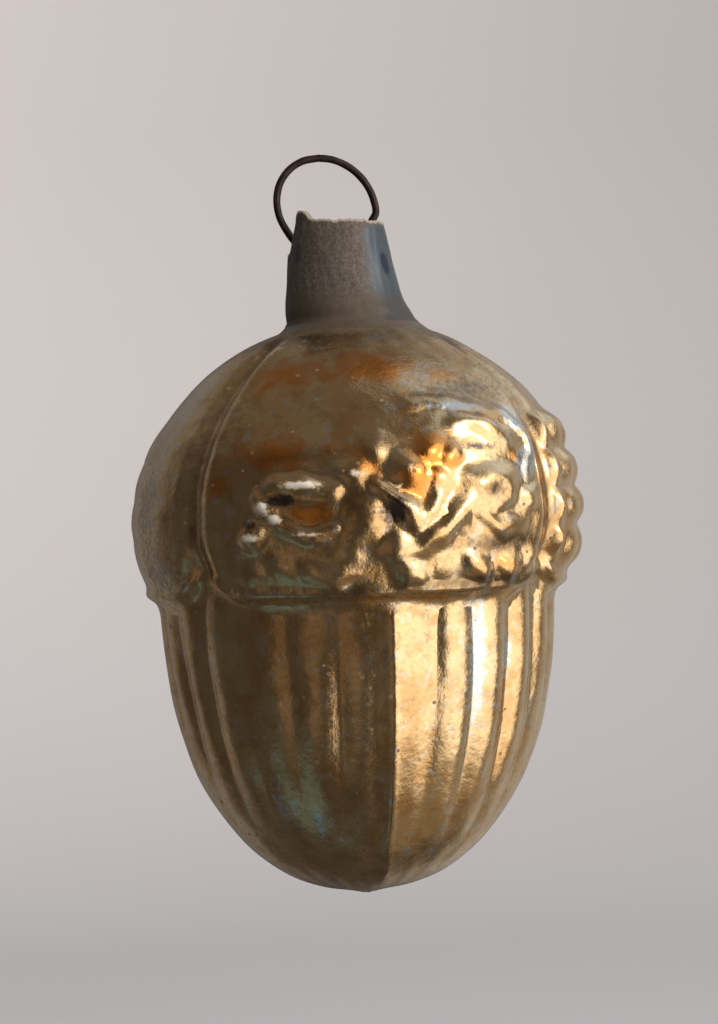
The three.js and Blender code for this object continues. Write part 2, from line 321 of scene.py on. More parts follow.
def posy(u, v):
    """A big leaf over two nuts, bent stalks below them and berries between: clearer right of the seam."""
    u, v = wander(u, v)
    leaf = lump(u, v, (8.6, -26.0), 5.6, 2.6, -0.2, 0.35)
    shapes = [leaf, small_lumps(u, v)]
    for line, width, height in RIDGES:
        shapes.append(curved_ridge(u, v, line, width, height))
    shapes.append(lump(u, v, (9.0, -29.9), 3.0, 1.9, 0.35, 0.95))  # right nut
    shapes.append(lump(u, v, (-6.8, -31.3), 2.0, 1.1, 0.2, 0.35))  # left nut, inside its edges
    shapes.append(lump(u, v, (-8.5, -26.3), 4.5, 1.7, 0.1, 0.3))  # faint left leaf
    for at, radius, height in BERRIES:
        shapes.append(lump(u, v, at, radius, radius, 0, height))
    for place, radius, height in LIP_BEADS:
        shapes.append(lump(u, v, (place, LIP_BEAD_Z), radius, LIP_BEAD_HALF_HEIGHT, 0, height))
    dent = lump(u, v, (9.3, -30.3), 1.5, 0.8, 0.4, 0.35)
    return merge(shapes) - dent


PEARL_PITCH = math.radians(12)
PEARL_ROWS = [-25.0, -28.3, -31.65, -35.0]
PEARL_REACH = math.radians(37)  # the outermost pearls are within this of the lobe's middle
FAINT_PEARLS = 0.15  # share of their height left on the left side lobe


def pearls(angle, z):
    """Rows of round pearls on a side lobe, whose middle is at angle 0."""
    place = np.round(angle / PEARL_PITCH) * PEARL_PITCH
    relief = np.zeros(np.broadcast(angle, z).shape)
    for row_z in PEARL_ROWS:
        bump = lump((angle - place) * CUP_RADIUS, z, (0, row_z), 1.75, 1.5, 0, 0.85)
        relief = np.maximum(relief, np.where(np.abs(place) < PEARL_REACH, bump, 0))
    return relief


def from_groove(angle):
    """Angle from the nearest groove: negative on the front and back lobes, positive on the side lobes."""
    folded = np.abs(turn(angle, LOBE_TURN))
    return np.minimum(folded, math.pi - folded) - GROOVE_ANGLE


def cup_relief(angle, z):
    """Grooves between the four lobes, the posy front and back, pearls on the right, and a thicker edge."""
    on_cup = smooth(LIP_Z - 0.1, LIP_Z + 0.9, z) * smooth(SHOULDER_Z + 0.5, SHOULDER_Z - 1, z)
    arc = from_groove(angle) * CUP_RADIUS
    groove = -0.6 * bell(arc, 1.4) + 0.15 * bell(arc + RIDGE_FROM_GROOVE, 0.9)
    deep = smooth(SHOULDER_Z, SHOULDER_Z - 3, z)
    front, back = turn(angle, 0), turn(angle, math.pi)
    side = turn(angle, LOBE_TURN + math.pi / 2)
    left_side = turn(angle, LOBE_TURN - math.pi / 2)
    pattern = np.where(np.abs(front) < LOBE_REACH, posy(front * CUP_RADIUS, z), 0)
    pattern = np.where(np.abs(back) < LOBE_REACH, posy(back * CUP_RADIUS, z), pattern)
    beaded = np.where(np.abs(side) < LOBE_REACH, pearls(side, z), FAINT_PEARLS * pearls(left_side, z))
    pattern = np.where(arc > 0, beaded, pattern) * smooth(0.6, 1.6, np.abs(arc))
    edge = 0.3 * bell(z - LIP_Z - 0.9, 0.5) * smooth(0.5, 1.8, np.abs(arc))
    return on_cup * (deep * groove + pattern + edge)


def nut_relief(angle, z):
    """Rounded ribs with narrow valleys, which die out towards the tip and are fainter on the front left."""
    on_nut = smooth(LIP_Z + 0.2, LIP_Z - 0.6, z)
    fade = smooth(NUT_END_Z + 2.0, NUT_END_Z + 19, z)
    uneven = 1 + 0.35 * waves(angle, z, 6, 9, 5)
    sway = 0.02 * waves(angle, z * 0.5, 4, 6, 8)
    valley = 1 - np.sqrt(np.sin(RIB_COUNT / 2 * (angle + sway + RIB_TURN)) ** 2 + 0.03)
    near_seam = np.minimum(np.abs(turn(angle, 0)), np.abs(turn(angle, math.pi)))
    calm = smooth(math.radians(3), math.radians(9), near_seam)
    faint = 1 - 0.6 * bell(turn(angle, math.radians(-34)), math.radians(34))
    return -RIB_DEPTH * on_nut * fade * uneven * calm * faint * valley


def seam_relief(angle, z):
    """The keel left where the two halves of the mould met."""
    on_nut = smooth(LIP_Z + 0.5, LIP_Z - 1.5, z)
    nearest = np.minimum(np.abs(turn(angle, 0)), np.abs(turn(angle, math.pi)))
    arc = nearest * np.clip(NUT_RADIUS * smooth(TIP_Z - 1, TIP_Z + 12, z), 1, None)
    fade = smooth(TIP_Z + 0.5, TIP_Z + 4, z)
    return on_nut * fade * (0.4 * np.exp(-arc / 1.3) + 0.08 * bell(arc, 0.25))


def body_relief(angle, z):
    """All the relief below the neck, with the slight waviness of blown glass."""
    below_neck = smooth(FOOT_Z, SHOULDER_Z - 0.5, z)
    blown = 0.08 * waves(angle, z, 8, 7, 3) + 0.03 * waves(angle, z, 14, 27, 4)
    return below_neck * (cup_relief(angle, z) + nut_relief(angle, z) + seam_relief(angle, z) + blown)


def lip_lift(angle, z):
    """The cup's edge rises into a rounded corner on each side of a groove, and sags between."""
    share = smooth(WIDEST_Z, LIP_Z + 0.5, z) * smooth(LIP_Z - 4, LIP_Z, z)
    return share * (2.0 * bell(from_groove(angle), math.radians(7)) - 0.35)


def rim_height(angle):
    """Broken rim: one tooth, one deep gap, and a rough edge between."""
    tooth = TOOTH_HEIGHT * bell(turn(angle, TOOTH_ANGLE), math.radians(13))
    from_notch = np.abs(turn(angle, NOTCH_ANGLE))
    notch = NOTCH_DEPTH * smooth(NOTCH_HALF_ANGLE * 1.3, NOTCH_HALF_ANGLE * 0.5, from_notch)
    rough = 0.1 * np.sin(5 * angle + 1) * np.sin(3 * angle) + 0.06 * np.sin(23 * angle) * np.sin(9 * angle)
    chips = 0.05 * np.sin(41 * angle + 2) * np.sin(17 * angle)
    return RIM_Z + tooth - notch + rough + chips


def off_axis(z):
    """The neck leans to the left, and the upper part of the cup swells to the right."""
    lean = -NECK_LEAN * np.clip((z - SHOULDER_Z) / (RIM_Z - SHOULDER_Z), 0, 1.2)
    return lean + SWELL * bell(z - SWELL_Z, SWELL_REACH)


def foot_flare(angle, z):
    """The neck runs out into the cup more gently on its right side."""
    return 0.95 * (0.5 + 0.5 * np.sin(angle)) * bell(z - SHOULDER_Z - 0.3, 1.7)


# ------------------------------------------------------------------------------------------ body surfaces

def surface(rows, angle, depth, neck_depth):
    """Points at a depth under the face of the body: rows by columns by 3."""
    r, z, out_r, out_z = (a[:, None] for a in rows)
    angle = angle[None, :]
    sunk = neck_depth + (depth - neck_depth) * smooth(FOOT_Z, FOOT_Z - 0.4, z)
    out = body_relief(angle, z) - sunk
    flare = foot_flare(angle, z) * smooth(0, 4, r)
    radius = np.maximum(r + out_r * out, 0) + flare
    height = z + out_z * out + lip_lift(angle, z)
    on_neck = z > FOOT_Z
    share = (z - FOOT_Z) / (RIM_Z - FOOT_Z)
    broken = FOOT_Z + (rim_height(angle) - FOOT_Z) * share
    grain = 0.03 * waves(angle, z, 14, 40, 11) if neck_depth == 0 else 0
    height = np.where(on_neck, broken, height)
    radius = np.where(on_neck, neck_radius(broken) - sunk + foot_flare(angle, broken) + grain, radius)
    x = radius * np.sin(angle) + off_axis(height)
    return np.stack([x, -radius * np.cos(angle), height], axis=-1)


def ring_faces(rows, columns, start, inward):
    """Quads between full rings of points."""
    i = np.arange(rows - 1)[:, None] * columns
    j = np.arange(columns)[None, :]
    k = (j + 1) % columns
    quads = np.stack([i + j, i + columns + j, i + columns + k, i + k], axis=-1).reshape(-1, 4) + start
    return quads[:, ::-1].tolist() if inward else quads.tolist()


def fan_faces(columns, start, tip, inward):
    faces = [(start + j, tip, start + (j + 1) % columns) for j in range(columns)]
    return [face[::-1] for face in faces] if inward else faces


def shell(name, outer, inner):
    """Closed thin shell, open at the top. The outer rings have a whole number of points to each inner one."""
    points, faces = [], []
    for grid, inward in ((outer, False), (inner, True)):
        rows, columns, _ = grid.shape
        start = sum(len(block) for block in points)
        rings = grid[:-1].reshape(-1, 3)
        points += [rings, grid[-1].mean(0)[None, :]]
        faces += ring_faces(rows - 1, columns, start, inward)
        faces += fan_faces(columns, start + len(rings) - columns, start + len(rings), inward)
    inner_start = len(points[0]) + 1
    many, few = outer.shape[1], inner.shape[1]
    step = many // few
    for j in range(few):
        arc = [(j * step + k) % many for k in range(step + 1)]
        faces.append((inner_start + j, *arc, inner_start + (j + 1) % few))
    return new_piece(name, np.concatenate(points), faces)


def new_piece(name, points, faces):
    mesh = bpy.data.meshes.new(name)
    mesh.from_pydata((np.asarray(points) * MM).tolist(), [], faces)
    mesh.validate()
    mesh.shade_smooth()
    piece = bpy.data.objects.new(name, mesh)
    scene.collection.objects.link(piece)
    return piece


def all_round(count):
    """Angles spaced evenly round the axis."""
    return np.linspace(0, 2 * math.pi, count, endpoint=False)


def add_mask(piece, name, values):
    """A number for each point of the mesh, which a material reads."""
    attribute = piece.data.attributes.new(name, "FLOAT", "POINT")
    attribute.data.foreach_set("value", np.clip(values, 0, 1).astype(np.float32))


def around(piece):
    """Angle and height of each point of a piece, in radians and millimetres."""
    points = np.array([vertex.co for vertex in piece.data.vertices]) / MM
    return np.arctan2(points[:, 0] - off_axis(points[:, 2]), -points[:, 1]), points[:, 2]


def patches(angle, z, places):
    """Soft-edged patches: each is (degrees round, height, half width in degrees, half height, strength)."""
    total = np.zeros(angle.shape)
    for degrees, height, half_width, half_height, strength in places:
        across = turn(angle, math.radians(degrees)) / math.radians(half_width)
        total += strength * np.exp(-(across**2) - ((z - height) / half_height) ** 2)
    return total


# Patches of the lacquer's face, as patches() reads them.
ORANGE_PLACES = [
    (-34, -19.8, 14, 1.8, 0.75), (-2, -19.6, 16, 2.0, 0.9), (24, -20.6, 10, 1.2, 0.5),
    (-27, -26.8, 18, 2.2, 0.75), (-20, -31.7, 7, 1.1, 1.0), (11, -27.0, 8, 2.4, 1.0),
    (-4, -28.2, 5, 1.3, 0.7), (6, -29.8, 5, 1.2, 0.8), (-47, -29.4, 6, 1.3, 0.6),
    (32, -36.4, 5, 1.0, 0.6), (34, -27.6, 5, 1.1, 0.6), (-38, -32.6, 5, 1.0, 0.5),
    (150, -27, 16, 2.5, 0.9), (200, -31, 12, 2.0, 0.9), (105, -22, 14, 2.4, 0.7),
    (-135, -20, 16, 2.2, 0.8), (24, -58, 30, 4, 0.2), (160, -50, 20, 5, 0.5),
]
WORN_PLACES = [
    (39, -24.2, 5, 1.4, 0.9), (44, -27.3, 4, 1.8, 0.8), (20, -23.0, 14, 0.7, 0.7),
    (14, -20.2, 5, 0.7, 0.6), (38, -28.2, 3.5, 1.6, 0.8), (26, -43.0, 2.4, 7.0, 0.8),
    (38, -44.0, 2.5, 2.2, 0.9), (24, -45, 15, 8, 0.35), (-40, -56.6, 3.2, 2.6, 0.7),
    (-27, -57.6, 3.2, 2.6, 0.7), (-52, -56, 4, 4, 0.5), (-60, -41, 3, 5, 0.4),
    (48, -42, 3, 5, 0.6), (120, -30, 8, 3, 0.8), (190, -45, 3, 6, 0.8), (228, -26, 8, 2, 0.8),
]
FROST_PLACES = [
    (-76, -21, 12, 5, 1.0), (-74, -30, 11, 6, 0.9), (-68, -36.5, 12, 2.2, 0.7),
    (-44, -38.6, 10, 1.0, 0.7), (-120, -24, 16, 5, 0.6), (-50, -17.3, 12, 0.8, 0.6),
    (60, -17.6, 18, 0.8, 0.6), (62, -30, 14, 6, 0.45),
]
# Painted shade: near-black navy patches where the posy's hollows, the undersides of its ridges and the gaps
# between its shapes lie in shadow.
DARK_PAINTED_SHADE_PLACES = [
    (0, -31.6, 4.0, 1.6, 1.1), (-27, -30.4, 5, 0.55, 1.2), (-35, -32.4, 3.0, 0.5, 0.9),
    (24, -26.5, 8, 0.6, 0.8), (15, -33.6, 5, 0.5, 0.5), (-33, -35.2, 8, 0.7, 0.4),
    (180, -31, 6, 1.6, 0.8), (150, -33, 6, 0.8, 0.8),
]
# Painted highlights: cream, less metallic patches on slopes of the posy, in place of the window's glints.
PAINTED_HIGHLIGHT_PLACES = [
    (-22, -29.2, 6, 0.42, 1.0), (-31.5, -31.0, 2.2, 0.6, 1.0), (-28.5, -32.0, 2.2, 0.5, 0.9),
    (-21, -33.3, 6.5, 0.3, 0.7), (-35, -33.4, 2.8, 0.5, 0.9), (-9, -28.4, 1.6, 0.4, 0.8),
    (158, -29.2, 6, 0.5, 0.9), (149, -31.4, 2.5, 0.9, 0.9),
]
SHADE_PLACES = [
    (29, -37.8, 26, 0.8, 1.0), (31, -34.6, 14, 0.85, 1.1), (26, -30.1, 4.5, 0.8, 0.8),
    (-9, -31, 6, 4.5, 0.55), (30, -21.6, 18, 1.6, 0.8), (-12, -38.2, 20, 0.7, 0.5),
    (200, -37.8, 30, 0.8, 0.8), (170, -34, 14, 0.7, 0.7),
]
# Dark spots on the bare neck.
NECK_SPOTS = [(46, -9.6, 9, 1.3, 1.0), (-62, -8.6, 8, 1.4, 0.7), (150, -11, 9, 1.5, 0.7)]


def gold_lacquer():
    """The lacquered face of the body, with masks for its orange, worn, frosted and dusty places, and for
    painted shade and painted highlights.
    """
    outer = surface(outline(0, 128, 60), all_round(RIB_COUNT * 16), 0, 0)
    depth = LACQUER_THICKNESS
    inner = surface(outline(0, 60, 40), all_round(RIB_COUNT * 4), depth, depth)
    piece = shell("gold_lacquer", outer, inner)
    angle, z = around(piece)
    arc = from_groove(angle) * CUP_RADIUS
    on_cup = smooth(LIP_Z, LIP_Z + 4, z)
    pale_line = bell(arc + RIDGE_FROM_GROOVE, 0.7) * smooth(-30, -22, z) * on_cup
    add_mask(piece, "orange", patches(angle, z, ORANGE_PLACES))
    add_mask(piece, "worn", patches(angle, z, WORN_PLACES) + 0.3 * pale_line)
    add_mask(piece, "frost", patches(angle, z, FROST_PLACES) + 0.5 * pale_line)
    groove = bell(arc, 1.5) * on_cup
    # painted shade: darker where the cup runs in under the neck and along the grooves between the lobes
    add_mask(piece, "painted_crease_shade", 0.8 * smooth(SHOULDER_Z - 3.5, SHOULDER_Z, z) + 0.6 * groove)
    add_mask(piece, "shade", patches(angle, z, SHADE_PLACES))
    add_mask(piece, "dark", patches(angle, z, DARK_PAINTED_SHADE_PLACES))
    add_mask(piece, "pale", patches(angle, z, PAINTED_HIGHLIGHT_PLACES))
    add_mask(piece, "dust", smooth(SHOULDER_Z - 1.6, FOOT_Z - 0.2, z))
    return piece


def blown_glass():
    """The glass itself: only its bare neck and broken rim show."""
    outer = surface(outline(46, 60, 40), all_round(RIB_COUNT * 8), GLASS_DEPTH, 0)
    inner = surface(outline(30, 50, 34), all_round(RIB_COUNT * 8), GLASS_WALL, GLASS_WALL)
    piece = shell("blown_glass", outer, inner)
    angle, z = around(piece)
    edge = smooth(-0.5, 0.05, z - rim_height(angle))
    add_mask(piece, "edge", edge)
    turned = np.degrees(angle)
    # the right side, towards the window: cleaner glass, whose bluish colour is a painted reflection
    clean_with_painted_reflection = smooth(2, 42, turned) * smooth(150, 110, turned)
    add_mask(piece, "clean_with_painted_reflection", clean_with_painted_reflection * smooth(RIM_Z + 0.2, RIM_Z - 1.2, z))
    add_mask(piece, "dark", patches(angle, z, NECK_SPOTS))
    add_mask(piece, "foot", smooth(SHOULDER_Z + 4.2, SHOULDER_Z + 2.0, z))
    return piece


def silver_film():
    """Thin silver just inside the glass, seen down the neck."""
    rows, angle = outline(24, 50, 34), all_round(RIB_COUNT * 4)
    near = GLASS_WALL + SILVER_GAP
    far = near + SILVER_THICKNESS
    return shell("silver_film", surface(rows, angle, near, near), surface(rows, angle, far, far))


# --------------------------------------------------------------------------------------------------- wire

def leg_top(side):
    """Place (x, z) of a leg's hinge: side is -1 for the left leg and 1 for the right."""
    place = joint_places["left_leg_flex" if side < 0 else "right_leg_flex"]
    return np.array([place[0] / MM, place[2] / MM])


def catmull_rom(points, steps):
    """Centripetal curve through points in the plane Y = 0, a number of steps between each two."""
    points = [2 * points[0] - points[1], *points, 2 * points[-1] - points[-2]]
    line = []
    for p0, p1, p2, p3 in zip(points, points[1:], points[2:], points[3:]):
        t1 = math.sqrt(np.linalg.norm(p1 - p0))
        t2 = t1 + math.sqrt(np.linalg.norm(p2 - p1))
        t3 = t2 + math.sqrt(np.linalg.norm(p3 - p2))
        for t in np.linspace(t1, t2, steps, endpoint=False):
            a1 = (t1 - t) / t1 * p0 + t / t1 * p1
            a2 = (t2 - t) / (t2 - t1) * p1 + (t - t1) / (t2 - t1) * p2
            a3 = (t3 - t) / (t3 - t2) * p2 + (t - t2) / (t3 - t2) * p3
            b1 = (t2 - t) / t2 * a1 + t / t2 * a2
            b2 = (t3 - t) / (t3 - t1) * a2 + (t - t1) / (t3 - t1) * a3
            line.append((t2 - t) / (t2 - t1) * b1 + (t - t1) / (t2 - t1) * b2)
    line.append(points[-2])
    return line


def half_path(side):
    """From the top of the loop, round and down one side, to the end of that leg."""
    middle_z = WIRE_RADIUS - LOOP_RADIUS
    top = leg_top(side)
    if side > 0:
        end_angle = math.asin((RIM_Z + ENTRY_HEIGHT - middle_z) / LOOP_RADIUS)
        bore = neck_radius(RIM_Z) - GLASS_WALL - SILVER_REACH
        entry = np.array([-NECK_LEAN + bore - WIRE_RADIUS - WIRE_CLEARANCE, RIM_Z])
    else:
        end_angle = math.pi - math.asin((top[1] + 2 * GAP_HEIGHT - middle_z) / LOOP_RADIUS)
        entry = np.array([top[0] - WIRE_RADIUS, top[1] + GAP_HEIGHT])
    points = []
    for a in np.linspace(math.pi / 2 + side * HALVES_OVERLAP, end_angle, 7):
        across = math.cos(a) - LOOP_SKEW * math.sin(a)
        points.append(np.array([LOOP_OFFSET + LOOP_RADIUS * across, middle_z + LOOP_RADIUS * math.sin(a)]))
    down = np.array([side * math.sin(LEG_SPLAY[side]), -math.cos(LEG_SPLAY[side])])
    points += [entry, top, top + down * BEND_END]
    path = catmull_rom(points, 10)
    for distance in np.linspace(BEND_END, LEG_LENGTH, 24)[1:]:
        path.append(top + down * distance)
    return np.array(path)


def half_wire(side):
    """Round wire with slightly uneven thickness, and a cut end with its edge worn round."""
    path = half_path(side)
    along = np.concatenate([[0], np.cumsum(np.linalg.norm(np.diff(path, axis=0), axis=1))])
    direction = np.gradient(path, axis=0)
    direction /= np.linalg.norm(direction, axis=1)[:, None]
    around_wire = all_round(WIRE_SIDES)
    thickness = WIRE_RADIUS * (1 + 0.025 * np.sin(2.3 * along + side) * np.sin(0.9 * along))
    thickness *= 1 - 0.35 * smooth(along[-1] - 0.12, along[-1], along)
    rings = []
    for point, ahead, radius in zip(path, direction, thickness):
        out = np.array([-ahead[1], ahead[0]])
        x = point[0] + radius * np.cos(around_wire) * out[0]
        y = radius * np.sin(around_wire)
        z = point[1] + radius * np.cos(around_wire) * out[1]
        rings.append(np.stack([x, y, z], axis=-1))
    last = (len(rings) - 1) * WIRE_SIDES
    faces = ring_faces(len(rings), WIRE_SIDES, 0, False)
    faces += [tuple(range(WIRE_SIDES)), tuple(reversed(range(last, last + WIRE_SIDES)))]
    piece = new_piece("hanger_wire_left" if side < 0 else "hanger_wire_right", np.concatenate(rings), faces)
    for polygon in piece.data.polygons[-2:]:
        polygon.use_smooth = False
    return piece


# ---------------------------------------------------------------------------------------------- materials

class Nodes:
    """Adds shader nodes to a tree, with their inputs given in order as values or as other nodes' outputs."""

    def __init__(self, tree):
        self.tree = tree
        tree.nodes.clear()

    def add(self, kind, *values, **settings):
        made = self.tree.nodes.new("ShaderNode" + kind)
        for name, value in settings.items():
            setattr(made, name, value)
        for socket, value in zip(made.inputs, values):
            self.put(socket, value)
        return made

    def put(self, socket, value):
        if isinstance(value, bpy.types.NodeSocket):
            self.tree.links.new(value, socket)
        elif value is not None:
            socket.default_value = value

    def math(self, operation, *values):
        return self.add("Math", *values, operation=operation).outputs[0]

    def between(self, value, low, high, start=0.0, end=1.0):
        """Goes smoothly from start to end as the value goes from low to high."""
        return self.add("MapRange", value, low, high, start, end, interpolation_type="SMOOTHSTEP").outputs[0]

    def mix(self, share, one, other):
        """A colour from one to the other. Sockets 6, 7 and 2 are those that a Mix node keeps for colours."""
        made = self.add("Mix", data_type="RGBA")
        for socket, value in zip((made.inputs[0], made.inputs[6], made.inputs[7]), (share, one, other)):
            if isinstance(value, tuple):
                value = (*value, 1)
            self.put(socket, value)
        return made.outputs[2]

    def mask(self, name):
        return self.add("Attribute", attribute_name=name).outputs["Fac"]

    def ragged(self, mask, noise, amount, low, high, level=0.5):
        """A mask with its edge broken up by a noise: from 0 where their sum is low to 1 where it is high."""
        rough = self.math("MULTIPLY", self.math("SUBTRACT", noise, level), amount)
        return self.between(self.math("ADD", self.mask(mask), rough), low, high)

    def noise(self, place, scale, detail=3.0, roughness=0.55):
        made = self.add("TexNoise")
        self.put(made.inputs["Vector"], place)
        self.put(made.inputs["Scale"], scale)
        self.put(made.inputs["Detail"], detail)
        self.put(made.inputs["Roughness"], roughness)
        return made.outputs["Fac"]

    def cells(self, place, scale):
        made = self.add("TexVoronoi")
        self.put(made.inputs["Vector"], place)
        self.put(made.inputs["Scale"], scale)
        return made.outputs["Distance"], made.outputs["Color"]

    def bump(self, height, strength, distance, under=None):
        made = self.add("Bump")
        self.put(made.inputs["Strength"], strength)
        self.put(made.inputs["Distance"], distance * MM)
        self.put(made.inputs["Height"], height)
        self.put(made.inputs["Normal"], under)
        return made.outputs["Normal"]

    def finish(self, **inputs):
        shader = self.add("BsdfPrincipled")
        for name, value in inputs.items():
            if isinstance(value, tuple):
                value = (*value, 1)
            self.put(shader.inputs[name.replace("_", " ")], value)
        self.add("OutputMaterial", shader.outputs[0])


def object_place(nodes):
    """Place on the object in millimetres."""
    scaled = nodes.add("VectorMath", nodes.add("TexCoord").outputs["Object"], operation="SCALE")
    scaled.inputs["Scale"].default_value = 1 / MM
    return scaled.outputs[0]


def new_material(name):
    material = bpy.data.materials.new(name)
    material.use_nodes = True
    return material, Nodes(material.node_tree)


def lacquer_material():
    """Old gold lacquer over silver: mottled, with orange pools, worn silvery spots, frost and specks, and
    with painted shade and painted highlights.
    """
    material, n = new_material("old_gold_lacquer")
    mm = object_place(n)
    broad = n.noise(mm, 0.16, 2)
    middle = n.noise(mm, 0.55, 4)
    fine = n.noise(mm, 2.2, 4, 0.6)
    grain = n.noise(mm, 7.0, 3, 0.6)
    gold = n.mix(n.between(broad, 0.36, 0.66), (0.86, 0.62, 0.33), (0.78, 0.51, 0.24))
    gold = n.mix(n.between(middle, 0.46, 0.70, 0, 0.75), gold, (0.56, 0.34, 0.14))
    gold = n.mix(n.between(fine, 0.45, 0.75, 0, 0.55), gold, (0.50, 0.35, 0.19))
    gold = n.mix(n.between(n.noise(mm, 0.32, 3, 0.6), 0.48, 0.64, 0, 0.5), gold, (0.66, 0.38, 0.14))
    gold = n.mix(n.between(n.noise(mm, 0.9, 3), 0.52, 0.70, 0, 0.45), gold, (0.72, 0.73, 0.65))
    pooled = n.ragged("orange", middle, 1.4, 0.25, 0.9)
    colour = n.mix(pooled, gold, (0.84, 0.33, 0.06))
    worn = n.ragged("worn", fine, 1.8, 0.35, 0.85)
    colour = n.mix(worn, colour, (0.72, 0.78, 0.78))
    frost = n.ragged("frost", fine, 2.4, 0.3, 0.95, 0.55)
    colour = n.mix(n.math("MULTIPLY", frost, 0.85), colour, (0.42, 0.38, 0.31))
    # painted shade: dark brown where the cup runs in under the neck and in the grooves
    painted_crease_shade = n.ragged("painted_crease_shade", middle, 0.9, 0.15, 1.1)
    colour = n.mix(painted_crease_shade, colour, (0.26, 0.165, 0.085))
    shade = n.ragged("shade", fine, 0.8, 0.1, 1.0)
    colour = n.mix(n.math("MULTIPLY", shade, 0.85), colour, (0.15, 0.095, 0.045))
    # painted shade: near-black navy where the posy's hollows and undersides lie in shadow
    dark = n.ragged("dark", fine, 1.2, 0.35, 0.9)
    colour = n.mix(n.math("MULTIPLY", dark, 0.9), colour, (0.05, 0.045, 0.06))
    # painted highlights: cream, less metallic and rougher, in place of the window's glints on the posy
    pale = n.ragged("pale", fine, 0.9, 0.3, 0.8)
    colour = n.mix(pale, colour, (0.86, 0.80, 0.70))
    dust = n.ragged("dust", fine, 0.9, 0.25, 0.9)
    colour = n.mix(dust, colour, (0.10, 0.075, 0.050))
    distance, random = n.cells(mm, 1.05)
    chosen = n.between(random, 0.72, 0.76)
    speck = n.math("MULTIPLY", n.between(distance, 0.22, 0.12), chosen)
    colour = n.mix(n.math("MULTIPLY", speck, 0.8), colour, (0.10, 0.07, 0.05))
    dull = n.math("MAXIMUM", n.math("MULTIPLY", frost, 0.7), dust)
    dull = n.math("MAXIMUM", dull, n.math("MAXIMUM", pale, speck))
    roughness = n.math("ADD", n.between(fine, 0.3, 0.75, 0.18, 0.30), n.math("MULTIPLY", dull, 0.22))
    roughness = n.math("ADD", roughness, n.math("MULTIPLY", painted_crease_shade, 0.14))
    metallic = n.math("SUBTRACT", 1.0, n.math("MULTIPLY", dull, 0.7))
    normal = n.bump(middle, 0.3, 0.25)
    normal = n.bump(fine, 0.3, 0.05, normal)
    normal = n.bump(grain, 0.15, 0.015, normal)
    n.finish(Base_Color=colour, Metallic=metallic, Roughness=roughness, Normal=normal, Coat_Weight=0.45,
             Coat_Roughness=0.1, Coat_IOR=1.5)
    return material


def glass_material():
    """Bare neck: silvered glass greyed by dust, clean and bluish on one side, where the blue is a painted
    reflection, with a frosted broken rim.
    """
    material, n = new_material("dusty_silvered_glass")
    mm = object_place(n)
    middle = n.noise(mm, 0.7, 4)
    fine = n.noise(mm, 4.0, 5, 0.65)
    grain = n.noise(mm, 12.0, 3, 0.6)
    dust = n.mix(n.between(fine, 0.35, 0.7), (0.078, 0.062, 0.048), (0.150, 0.128, 0.104))
    dust = n.mix(n.between(grain, 0.55, 0.75, 0, 0.5), dust, (0.24, 0.21, 0.175))
    # cleaner glass on the right side, its bluish tint a painted reflection
    clean_with_painted_reflection = n.ragged("clean_with_painted_reflection", middle, 0.7, 0.1, 1.0)
    colour = n.mix(clean_with_painted_reflection, dust, (0.105, 0.130, 0.155))
    colour = n.mix(n.math("MULTIPLY", n.mask("foot"), 0.75), colour, (0.095, 0.072, 0.050))
    dark = n.ragged("dark", fine, 0.7, 0.3, 0.8)
    colour = n.mix(dark, colour, (0.035, 0.045, 0.08))
    edge = n.ragged("edge", fine, 0.9, 0.25, 0.8)
    colour = n.mix(edge, colour, (0.34, 0.29, 0.23))
    metallic = n.math("MULTIPLY", n.between(clean_with_painted_reflection, 0, 1, 0.25, 0.75), n.math("SUBTRACT", 1.0, edge))
    roughness = n.math("MAXIMUM", n.between(clean_with_painted_reflection, 0, 1, 0.7, 0.42), n.math("MULTIPLY", edge, 0.6))
    normal = n.bump(fine, 0.5, 0.06)
    normal = n.bump(grain, 0.4, 0.03, normal)
    n.finish(Base_Color=colour, Metallic=metallic, Roughness=roughness, Normal=normal, Coat_Weight=0.08,
             Coat_Roughness=0.3, Coat_IOR=1.5)
    return material


def silver_material():
    """Tarnished back of the silver, seen down the neck."""
    material, n = new_material("tarnished_silver")
    mm = object_place(n)
    blotch = n.noise(mm, 0.5, 4)
    fine = n.noise(mm, 3.0, 4)
    colour = n.mix(n.between(blotch, 0.4, 0.62), (0.42, 0.40, 0.36), (0.16, 0.12, 0.10))
    colour = n.mix(n.between(fine, 0.55, 0.75, 0, 0.7), colour, (0.08, 0.07, 0.08))
    n.finish(Base_Color=colour, Metallic=0.85, Roughness=n.between(fine, 0.3, 0.7, 0.3, 0.6),
             Normal=n.bump(fine, 0.4, 0.03))
    return material


def wire_material():
    """Steel wire gone dark brown, with a little rust and a few rubbed places."""
    material, n = new_material("dark_wire")
    mm = object_place(n)
    blotch = n.noise(mm, 0.9, 4)
    fine = n.noise(mm, 7.0, 5, 0.65)
    colour = n.mix(n.between(blotch, 0.4, 0.65), (0.026, 0.019, 0.018), (0.050, 0.030, 0.024))
    colour = n.mix(n.between(fine, 0.55, 0.72, 0, 0.6), colour, (0.105, 0.070, 0.055))
    colour = n.mix(n.between(n.noise(mm, 1.7, 3), 0.6, 0.7, 0, 0.6), colour, (0.10, 0.075, 0.09))
    n.finish(Base_Color=colour, Metallic=0.7, Roughness=n.between(fine, 0.3, 0.7, 0.34, 0.6),
             Normal=n.bump(fine, 0.6, 0.03))
    return material


def stage_material():
    material, n = new_material("pale_stage")
    mm = object_place(n)
    colour = n.mix(n.noise(mm, 0.004, 2), (0.80, 0.78, 0.79), (0.84, 0.82, 0.83))
    n.finish(Base_Color=colour, Roughness=0.9)
    return material


# --------------------------------------------------------------------------------------- stage and light

